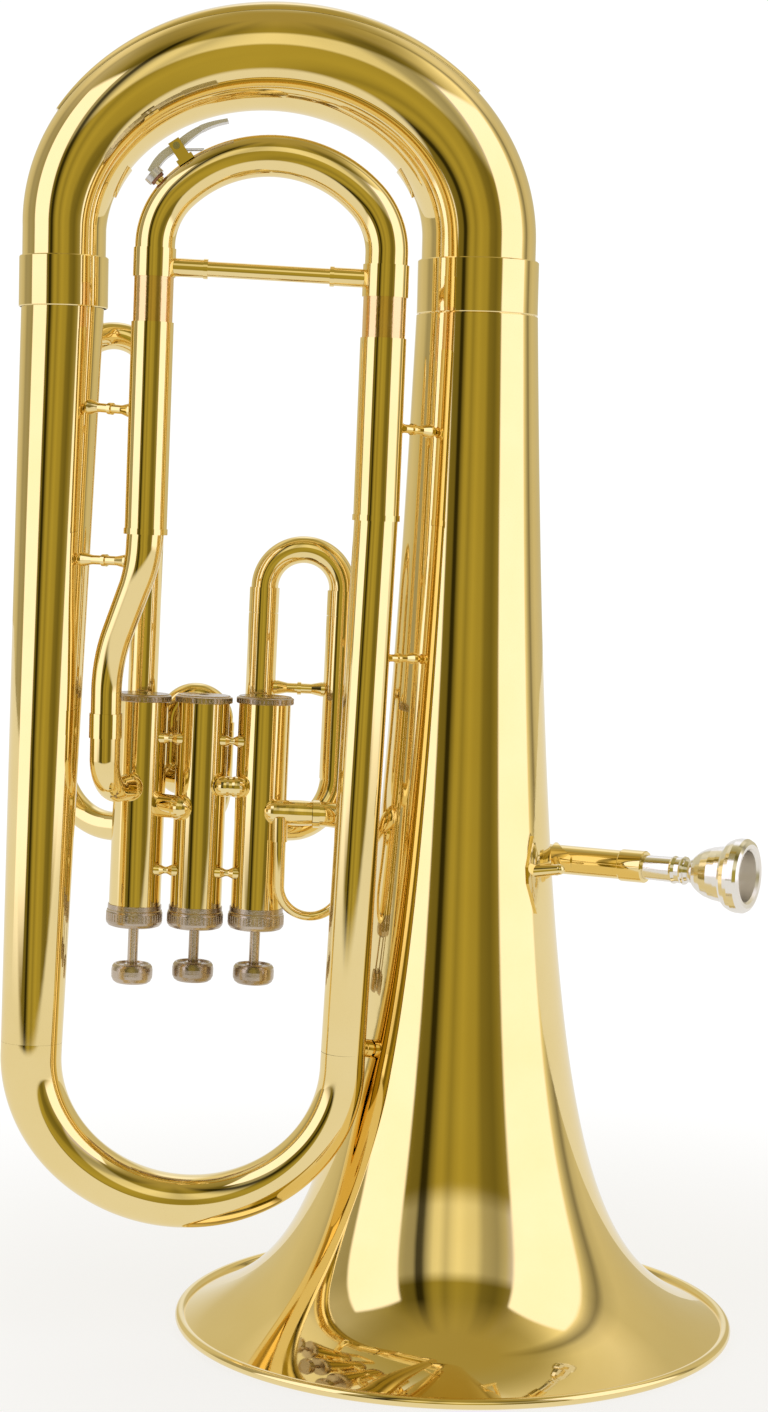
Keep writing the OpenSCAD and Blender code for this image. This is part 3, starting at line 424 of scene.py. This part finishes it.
def bow_guard_piece():
    """A wear plate over the big bow, pointed at both ends, with rounded edges. Its last tenth at
    each end lies on the bow's inner side, which is a known fault: it belongs on the outside."""
    first, last, stations = 3 / 24, 22 / 24, 90
    across, lift, thick, step = 36, 0.06, 1.0, 0.004
    tip, swell, swell_round, edge_share, edge_round = 2, 35, 0.7, 3.5, 0.8
    rings = []
    for i in range(stations + 1):
        s = i / stations
        t = mix(first, last, s)
        centre, radius = big_bow_line(t)
        tangent = (big_bow_line(t + step)[0] - big_bow_line(t - step)[0]).normalized()
        # tangent x Y points into the bow's curve, and only the middle eight tenths turn it round
        outward = tangent.cross(Vector((0, 1, 0))).normalized()
        if outward.z < 0 and abs(s - 0.5) < 0.4:
            outward = -outward
        sideways = tangent.cross(outward)
        half = math.radians(tip + swell * math.sin(math.pi * s) ** swell_round)
        loop = []
        for k in range(across + 1):
            place = 2 * k / across - 1
            rise = clamp((1 - abs(place)) * edge_share) ** edge_round
            loop.append((radius + lift + thick * rise, half * place))
        for k in range(across, -1, -1):
            loop.append((radius + lift, half * (2 * k / across - 1)))
        rings.append([centre + r * (math.cos(a) * outward + math.sin(a) * sideways) for r, a in loop])
    columns = len(rings[0])
    verts = [p for ring in rings for p in ring]
    faces = grid_faces(len(rings), columns)
    faces += [tuple(range(columns)), tuple(len(verts) - 1 - k for k in range(columns))]
    return new_piece("bow_guard_plate", verts, faces, BRASS, "euphonium", ["bow_guard"])


LEFT_TOP = Vector((BIG_BOW_END.x, BIG_BOW_END.y, 514.8))
LEFT_FOOT = Vector((-210.8, -32, 144))
RIGHT_FOOT = Vector((-57.6, -40, 144))
LEFT_FOOT_R, RIGHT_FOOT_R = 15.0, 10.9
LOWER_Z, LOWER_LOW = 137.0, 67.0


def left_branch_piece():
    """The tapered tube from the big bow down to the lower bow."""
    length = (LEFT_FOOT - LEFT_TOP).length
    outline = [(LEFT_TOP_R - WALL, 0), (LEFT_TOP_R, 0), (LEFT_FOOT_R, length), (LEFT_FOOT_R - WALL, length)]
    verts, faces = turned(outline, 96, LEFT_TOP, (LEFT_FOOT - LEFT_TOP).normalized())
    return new_piece("left_branch_tube", verts, faces, BRASS, "euphonium", ["left_branch"])


def lower_bow_piece():
    """The lower bow; its ends run on a hair's breadth into the branches, so no seam gapes."""
    count = 110
    left = LEFT_FOOT + (LEFT_FOOT - LEFT_TOP).normalized() * 7
    right = Vector((-57.8, -39.8, LOWER_Z))
    path = [LEFT_FOOT - Vector((0, 0, 0.06))]
    for i in range(count + 1):
        t = i / count
        path.append(Vector((half_turn(left.x, right.x, t), half_turn(left.y, right.y, t),
                            LOWER_Z - (LOWER_Z - LOWER_LOW) * math.sin(math.pi * t))))
    path.append(RIGHT_FOOT - Vector((0, 0, 0.03)))
    last = len(path) - 1
    radii = [mix(LEFT_FOOT_R, RIGHT_FOOT_R, i / last) for i in range(last + 1)]
    verts, faces = hollow_sweep(path, radii, WALL, 72, Vector((0, 1, 0)))
    return new_piece("lower_bow_tube", verts, faces, BRASS, "euphonium", ["lower_bow"])


# ---------------------------------------------------------------- tuning slide
TUNE_O = Vector((-100.1, -47.9, 530))
TUNE_TURN = (Matrix.Rotation(math.radians(1.05), 3, "Y") @ Matrix.Rotation(math.radians(0.7), 3, "X"))
TUNE_HALF, TUNE_RISE, TUNE_CORNER = 55.0, 44.0, 36.0
TUNE_LEFT_R, TUNE_RIGHT_R = 9.5, 10.2


def tune(x, y, z):
    """A point in the tuning slide's own leaning frame, whose Z runs up its legs."""
    return TUNE_O + TUNE_TURN @ Vector((x, y, z))


def tuning_bow_piece():
    """Two corner arcs and a flatter crown, each flowing into the next."""
    mid = TUNE_HALF - TUNE_CORNER
    crown = (mid ** 2 + TUNE_RISE ** 2 - TUNE_CORNER ** 2) / (2 * (TUNE_RISE - TUNE_CORNER))
    half = math.asin(mid / (crown - TUNE_CORNER))
    left_end, right_end, steps = -7.0, -12.0, 34
    plan = [(-TUNE_HALF, left_end, TUNE_LEFT_R)]
    for i in range(steps + 1):
        a = math.pi - (math.pi / 2 - half) * i / steps
        plan.append((-mid + TUNE_CORNER * math.cos(a), TUNE_CORNER * math.sin(a), TUNE_LEFT_R))
    for i in range(1, steps):
        a = math.pi / 2 + half - 2 * half * i / steps
        plan.append((crown * math.cos(a), TUNE_RISE - crown + crown * math.sin(a),
                     mix(TUNE_LEFT_R, TUNE_RIGHT_R, i / steps)))
    for i in range(steps + 1):
        a = (math.pi / 2 - half) * (1 - i / steps)
        plan.append((mid + TUNE_CORNER * math.cos(a), TUNE_CORNER * math.sin(a), TUNE_RIGHT_R))
    plan.append((TUNE_HALF, right_end, TUNE_RIGHT_R))
    verts, faces = hollow_sweep([tune(x, 0, z) for x, z, _ in plan], [r for _, _, r in plan], WALL, 64,
                                TUNE_TURN @ Vector((0, 1, 0)))
    return new_piece("tuning_bow_tube", verts, faces, BRASS, "tuning_slide", ["tuning_bow"])


# ---------------------------------------------------------------- crook, leadpipe and valves
def bend(a, b, c, radius, count):
    """An arc that rounds the corner b of the line a-b-c."""
    u, v = (a - b).normalized(), (c - b).normalized()
    half = u.angle(v) / 2
    centre = b + (u + v).normalized() * radius / math.sin(half)
    p = b + u * radius / math.tan(half) - centre
    q = b + v * radius / math.tan(half) - centre
    sweep = math.pi - 2 * half
    return [centre + (math.sin(sweep * (1 - i / count)) * p + math.sin(sweep * i / count) * q)
            / math.sin(sweep) for i in range(count + 1)]


VALVE_O = Vector((-133.2, 10, 255.8))
VALVE_TURN = Matrix.Rotation(math.radians(1.4), 3, "Y")
PITCH = 30.7


def crook_piece():
    """The crook from the tuning slide to the third valve: two gentle bends and an elbow."""
    start = tune(-TUNE_HALF, 0, -136.1)
    end = VALVE_O + VALVE_TURN @ Vector((-PITCH - 3.6, -17.2, 11))
    start_r, end_r = 8.9, 6.1
    corners = [start, Vector((-158.8, -46.1, 378.5)), Vector((-176.3, -34.4, 332)),
               Vector((-176.9, -33.4, 268)), end]
    # each bend's radius and count of steps, and the tube's radius where it starts and ends
    bends = [(60, 30, start_r, 7.8), (75, 30, 7.6, 7.4), (16, 40, 7.4, end_r)]
    path, radii = [start], [start_r]
    for corner, (radius, count, first, last) in enumerate(bends):
        path += bend(*corners[corner:corner + 3], radius, count)
        radii += [mix(first, last, i / count) for i in range(count + 1)]
    verts, faces = hollow_sweep(path + [end], radii + [end_r], WALL, 72, Vector((1, 0.35, 0.2)))
    return new_piece("crook_tube", verts, faces, BRASS, "euphonium", ["crook"])


PIPE_R, PIPE_Y, PIPE_Z, RECEIVER_Z = 6.2, -0.5, 255.7, 231.5
PIPE_ROUND, PIPE_LEAVES = 53.0, math.radians(61)
satin_cup(MOUTHPIECE, RECEIVER_Z * MM, PIPE_ROUND * MM, PIPE_LEAVES, satin=0.33)


def leadpipe_piece():
    """From the first valve's barrel round the back of the bell to the mouthpiece receiver."""
    turn_in, start_x, turn_steps, round_steps = 22.0, -75.7, 24, 60
    out = turn_in + PIPE_ROUND
    centre = Vector((-math.sqrt(out ** 2 - (turn_in + PIPE_Y) ** 2), turn_in + PIPE_Y))
    meet = math.atan2(centre.y, centre.x)
    plan = [Vector((start_x, PIPE_Y)), Vector((start_x + 3.6, PIPE_Y))]
    for i in range(turn_steps + 1):
        a = -math.pi / 2 + (meet - math.pi / 2) * i / turn_steps
        plan.append(centre + turn_in * Vector((math.cos(a), math.sin(a))))
    for i in range(1, round_steps + 1):
        a = mix(meet, PIPE_LEAVES, i / round_steps)
        plan.append(PIPE_ROUND * Vector((math.cos(a), math.sin(a))))
    tip = plan[-1]
    plan += [tip + s * Vector((math.sin(PIPE_LEAVES), -math.cos(PIPE_LEAVES))) for s in (22, 44)]
    # the pipe sinks evenly along the CAD's coarser path, which has 8 steps in the turn, 12 round
    # the bell and 2 after it
    turned_at, round_at = 2 + turn_steps, 2 + turn_steps + round_steps
    path = []
    for i, flat in enumerate(plan):
        if i < 2:
            station = i
        elif i <= turned_at:
            station = 2 + (i - 2) * 8 / turn_steps
        elif i <= round_at:
            station = 10 + (i - turned_at) * 12 / round_steps
        else:
            station = 22 + i - round_at
        path.append(Vector((flat.x, flat.y, mix(PIPE_Z, RECEIVER_Z, smooth_step(clamp((station - 2) / 20))))))
    verts, faces = hollow_sweep(path, [PIPE_R] * len(path), WALL, 64, Vector((0, 0, 1)))
    return new_piece("leadpipe_tube", verts, faces, BRASS, "euphonium", ["leadpipe"])


BALL = VALVE_O + VALVE_TURN @ Vector((39, -10.5, 1.5))
BALL_R = 6.4


def thumb_ring_piece():
    """A wire loop whose thick end stands in a socket; the socket's top fits the leadpipe's ball."""
    left, right, left_y, right_y, low = -92.1, -60.4, -3.4, 3.0, 220.0
    middle, big, steps = (left + right) / 2, (right - left) / 2, 60
    thin_r, thick_r, inner_r, socket_r, socket_z, top_z = 2.3, 3.3, 3.32, 3.9, 241.8, 254
    path = [Vector((left, left_y, 244)), Vector((left, left_y, 236))]
    stations = [0, 1]
    for i in range(steps + 1):
        a = math.pi * (1 + i / steps)
        path.append(Vector((middle + big * math.cos(a), mix(left_y, right_y, i / steps),
                            low + big * math.sin(a))))
        stations.append(2 + 12 * i / steps)
    path += [Vector((right, right_y, 236)), Vector((right, right_y, 246.2))]
    stations += [15, 16]
    radii = [thin_r + (thick_r - thin_r) * (1 - s / 8) ** 2 for s in stations]
    verts, faces = solid_sweep(path, radii, 40, Vector((0, 1, 0)))
    around = 48

    def top(radius, k):
        """Where the socket ends: under the ball, or at its own height beside it."""
        a = 2 * math.pi * k / around
        off = Vector((left + radius * math.cos(a) - BALL.x, left_y + radius * math.sin(a) - BALL.y)).length
        under = BALL.z - math.sqrt((BALL_R + 0.02) ** 2 - off ** 2) if off < BALL_R else top_z
        return radius, min(under, top_z)

    rings = [[place] * around for place in ((inner_r, 244.3), (inner_r, socket_z), (socket_r, socket_z))]
    for radius in (socket_r, 3.4, 2.8, 2.0, 1.2, 0.4):
        rings.append([top(radius, k) for k in range(around)])
    base = len(verts)
    for ring in rings:
        for k, (radius, height) in enumerate(ring):
            a = 2 * math.pi * k / around
            verts.append(Vector((left + radius * math.cos(a), left_y + radius * math.sin(a), height)))
    faces += grid_faces(len(rings), around, base, True)
    faces.append(tuple(base + k for k in range(around))[::-1])
    faces.append(tuple(len(verts) - around + k for k in range(around)))
    return new_piece("thumb_ring_loop", verts, faces, BRASS, "euphonium", ["thumb_ring"], sharp=40)


# How far each valve stands above the row's line, and the space that a spring fills.
VALVE_RISE = (0.9, 0.1, -0.5)
PISTON_TOP, CAP_FLOOR, PRESS = 22.0, 55.3, 15.0


def piston_coil_piece(valve):
    """A return spring with closed ends, between its piston and the bottom cap."""
    coil_r, wire_r, turns, steps, gap = 7.2, 0.5, 7, 40, 0.1
    offset = Vector(((2 - valve) * PITCH, 0, VALVE_RISE[valve - 1]))
    low, high = PISTON_TOP + gap + wire_r, CAP_FLOOR - gap - wire_r
    closed = 2.1 * wire_r
    path = []
    for i in range(turns * steps + 1):
        turn = i / steps
        middle = mix(low + closed, high - closed, clamp((turn - 1) / (turns - 2)))
        height = middle - closed * (1 - clamp(turn)) + closed * clamp(turn - (turns - 1))
        a = 2 * math.pi * turn
        place = offset + Vector((coil_r * math.cos(a), coil_r * math.sin(a), height))
        path.append(VALVE_O + VALVE_TURN @ place)
    up = VALVE_TURN @ Vector((0, 0, 1))
    verts, faces = solid_sweep(path, [wire_r] * len(path), 12, up)
    piece = new_piece(f"piston_coil_{valve}", verts, faces, STEEL, "euphonium",
                      [f"piston_spring_{valve}"])
    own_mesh(piece)
    return piece


bell_piece()
big_bow_piece()
bow_guard_piece()
lower_bow_piece()
left_branch_piece()
tuning_bow_piece()
crook_piece()
leadpipe_piece()
thumb_ring_piece()
for valve in (1, 2, 3):
    piston_coil_piece(valve)


# ---------------------------------------------------------------- studio
WHITE = (1, 1, 1, 1)
BACKDROP = 1.05


def flat_mesh(name, half_width, half_height):
    mesh = bpy.data.meshes.new(name)
    corners = [(x * half_width, y * half_height, 0) for x, y in ((-1, -1), (1, -1), (1, 1), (-1, 1))]
    mesh.from_pydata(corners, [], [(0, 1, 2, 3)])
    return mesh


def axes(tree, vector):
    """A vector's X, Y and Z sockets."""
    node = tree.nodes.new("ShaderNodeSeparateXYZ")
    tree.links.new(vector, node.inputs["Vector"])
    return node.outputs


def light_node(tree, kind, colour, strength=1.0):
    """An Emission or Background shader."""
    node = tree.nodes.new("ShaderNode" + kind)
    feed(tree, node.inputs["Color"], colour)
    node.inputs["Strength"].default_value = strength
    return node.outputs[kind]


def mix_shaders(tree, share, first, second):
    node = tree.nodes.new("ShaderNodeMixShader")
    for socket, value in zip(node.inputs, (share, first, second)):
        tree.links.new(value, socket)
    return node.outputs["Shader"]


def softbox(name, place, target, width, height):
    """A lit sheet that fades towards its edges; it shows in the metal and not to the camera."""
    radiance, edge = 1.3, 0.16
    half_width, half_height = width / 2, height / 2
    mesh = flat_mesh(name, half_width, half_height)
    material = bpy.data.materials.new(name)
    material.use_nodes = True
    tree = material.node_tree
    tree.nodes.clear()
    flat = axes(tree, tree.nodes.new("ShaderNodeTexCoord").outputs["Object"])
    fades = []
    for axis, half in (("X", half_width), ("Y", half_height)):
        away = calc(tree, "ABSOLUTE", flat[axis])
        fades.append(map_range(tree, away, half, half * (1 - edge), kind="SMOOTHSTEP"))
    back = tree.nodes.new("ShaderNodeNewGeometry").outputs["Backfacing"]
    lit = calc(tree, "MULTIPLY", calc(tree, "MULTIPLY", *fades), calc(tree, "SUBTRACT", 1.0, back))
    clear = tree.nodes.new("ShaderNodeBsdfTransparent").outputs["BSDF"]
    glow = light_node(tree, "Emission", (1, 0.97, 1.05, 1), radiance)
    out = tree.nodes.new("ShaderNodeOutputMaterial")
    tree.links.new(mix_shaders(tree, lit, clear, glow), out.inputs["Surface"])
    mesh.materials.append(material)
    lamp = add_object(name, mesh)
    lamp.location = place
    lamp.rotation_euler = (Vector(target) - Vector(place)).to_track_quat("Z", "Y").to_euler()
    lamp.visible_camera = False
    lamp.visible_shadow = False


def add_camera():
    """The camera's place and lens, from the bell's rim and axis as the picture shows them."""
    place = (-0.0415, -1.342, 0.4103)
    pitch, roll = math.radians(4.25), math.radians(1.31)
    data = bpy.data.cameras.new("camera")
    data.sensor_fit = "VERTICAL"
    data.angle = math.radians(29.31)
    camera = add_object("camera", data)
    level = Matrix.Rotation(math.pi / 2 - pitch, 4, "X")
    camera.matrix_world = Matrix.Translation(place) @ level @ Matrix.Rotation(roll, 4, "Z")
    bpy.context.scene.camera = camera


# How bright the room is round the instrument, by the angle from the camera's side (degrees,
# to the right), and how that changes with height, in front and at the sides and back. The
# softboxes stand in front of part of it. The stops were picked and rounded from readings of
# what the photographed bell reflects in each direction.
ROOM = [(-180, 0.9), (-170, 0.85), (-160, 0.65), (-135, 0.68), (-118, 0.6), (-108, 0.38), (-98, 0.4),
        (-46, 0.24), (-40, 0.18), (-34, 0.17), (-31, 0.03), (-27, 0.03), (-24, 0.18), (-18, 0.40),
        (-14, 0.42), (-8, 0.30), (-3, 0.40), (2, 0.46), (9, 0.40), (16, 0.38), (22, 0.22), (33, 0.17),
        (40, 0.25), (98, 0.9), (104, 0.5), (110, 0.24), (115, 0.55), (125, 0.66), (150, 0.6),
        (165, 0.6), (172, 0.85), (180, 0.9)]
FRONT_HEIGHT = [(-90, (1, 1, 1)), (18, (1, 1, 1)), (22, (2.1, 2.4, 9)), (42, (2.1, 2.4, 9)),
                (47, (0.8, 0.8, 0.8)), (60, (0.8, 0.8, 1)), (74, (1, 1, 1.4)), (90, (0.9, 0.9, 1.4))]
SIDE_HEIGHT = [(-90, (1, 1, 1)), (35, (1, 1, 1)), (46, (1.3, 1.3, 1.4)), (58, (1.2, 1.2, 1.2)),
               (68, (0.7, 0.7, 0.6)), (90, (0.6, 0.6, 0.4))]
# A ramp's colours stop at 1, so the heights' are this many times smaller and the light is as
# many times stronger.
HEIGHT_SCALE = 10


def round_angle(tree, place):
    """The angle round the instrument from the camera's side, to the right."""
    return calc(tree, "ARCTAN2", place["X"], calc(tree, "MULTIPLY", place["Y"], -1.0))


def room_ramp(tree, angle):
    """The room's colour by the angle round the instrument, in radians."""
    stops = []
    for degrees, v in ROOM:
        if abs(degrees) < 50:
            colour = (v, v * 0.8, v * 0.14)
        elif abs(degrees) < 166:
            colour = (v, v * 0.9, v * 0.6)
        else:
            colour = grey(v)
        stops.append(((degrees + 180) / 360, colour))
    return ramp(tree, map_range(tree, angle, -math.pi, math.pi), stops)


def height_ramp(tree, angle, heights):
    """What the room's colour is multiplied by, over HEIGHT_SCALE, by the angle above the level."""
    stops = [((degrees + 90) / 180, tuple(c / HEIGHT_SCALE for c in colour)) for degrees, colour in heights]
    return ramp(tree, map_range(tree, angle, -math.pi / 2, math.pi / 2), stops)


def add_floor():
    """A pale floor that melts into the white backdrop. The metal sees it end where the
    photographer stood, with the room's light and dark behind."""
    lit_from, lit_to, melt_from, melt_to = -1.15, -0.85, 0.13, 0.7
    material, tree, shader = new_material("pale_floor")
    shader.inputs["Base Color"].default_value = (0.86, 0.86, 0.86, 1)
    shader.inputs["Roughness"].default_value = 0.7
    position = tree.nodes.new("ShaderNodeNewGeometry").outputs["Position"]
    place = axes(tree, position)
    camera_ray = tree.nodes.new("ShaderNodeLightPath").outputs["Is Camera Ray"]
    near = map_range(tree, place["Y"], lit_from, lit_to, kind="SMOOTHSTEP")
    seen = mix_node(tree, "RGBA", near, room_ramp(tree, round_angle(tree, place)), (0.84, 0.82, 0.78, 1))
    away = tree.nodes.new("ShaderNodeVectorMath")
    away.operation = "LENGTH"
    tree.links.new(position, away.inputs[0])
    melt = map_range(tree, away.outputs["Value"], melt_from, melt_to, 0.72, 1, "SMOOTHSTEP")
    shown = mix_shaders(tree, melt, shader.outputs["BSDF"], light_node(tree, "Emission", WHITE, BACKDROP))
    surface = mix_shaders(tree, camera_ray, light_node(tree, "Emission", seen), shown)
    tree.links.new(surface, tree.nodes["Material Output"].inputs["Surface"])
    mesh = flat_mesh("floor", 8.0, 8.0)
    mesh.materials.append(material)
    add_object("floor", mesh)


def add_world():
    """The room as the metal sees it, and a plain white backdrop for the camera."""
    front_from, front_to = math.radians(60), math.radians(45)
    overhead_from, overhead_to = math.radians(55), math.radians(78)
    world = bpy.data.worlds.new("studio")
    bpy.context.scene.world = world
    world.use_nodes = True
    tree = world.node_tree
    tree.nodes.clear()
    out = tree.nodes.new("ShaderNodeOutputWorld")
    place = axes(tree, tree.nodes.new("ShaderNodeTexCoord").outputs["Generated"])
    angle = round_angle(tree, place)
    up_angle = calc(tree, "ARCSINE", place["Z"])
    front = map_range(tree, calc(tree, "ABSOLUTE", angle), front_from, front_to)
    heights = mix_node(tree, "RGBA", front, height_ramp(tree, up_angle, SIDE_HEIGHT),
                       height_ramp(tree, up_angle, FRONT_HEIGHT))
    lit = tree.nodes.new("ShaderNodeVectorMath")
    lit.operation = "MULTIPLY"
    tree.links.new(room_ramp(tree, angle), lit.inputs[0])
    tree.links.new(heights, lit.inputs[1])
    overhead = map_range(tree, up_angle, overhead_from, overhead_to)
    colour = mix_node(tree, "RGBA", overhead, lit.outputs["Vector"], (0.04, 0.032, 0.01, 1))
    inside = light_node(tree, "Background", colour, HEIGHT_SCALE)
    backdrop = light_node(tree, "Background", WHITE, BACKDROP)
    camera_ray = tree.nodes.new("ShaderNodeLightPath").outputs["Is Camera Ray"]
    tree.links.new(mix_shaders(tree, camera_ray, inside, backdrop), out.inputs["Surface"])


def add_studio():
    add_camera()
    add_floor()
    add_world()
    softbox("softbox_left", (-1.19, -0.6, 0.98), (-0.05, 0, 0.98), 1.0, 1.95)
    softbox("softbox_right", (1.13, -0.42, 0.98), (-0.05, 0, 0.98), 1.24, 1.95)
    bpy.context.scene.view_settings.view_transform = "Standard"


add_studio()
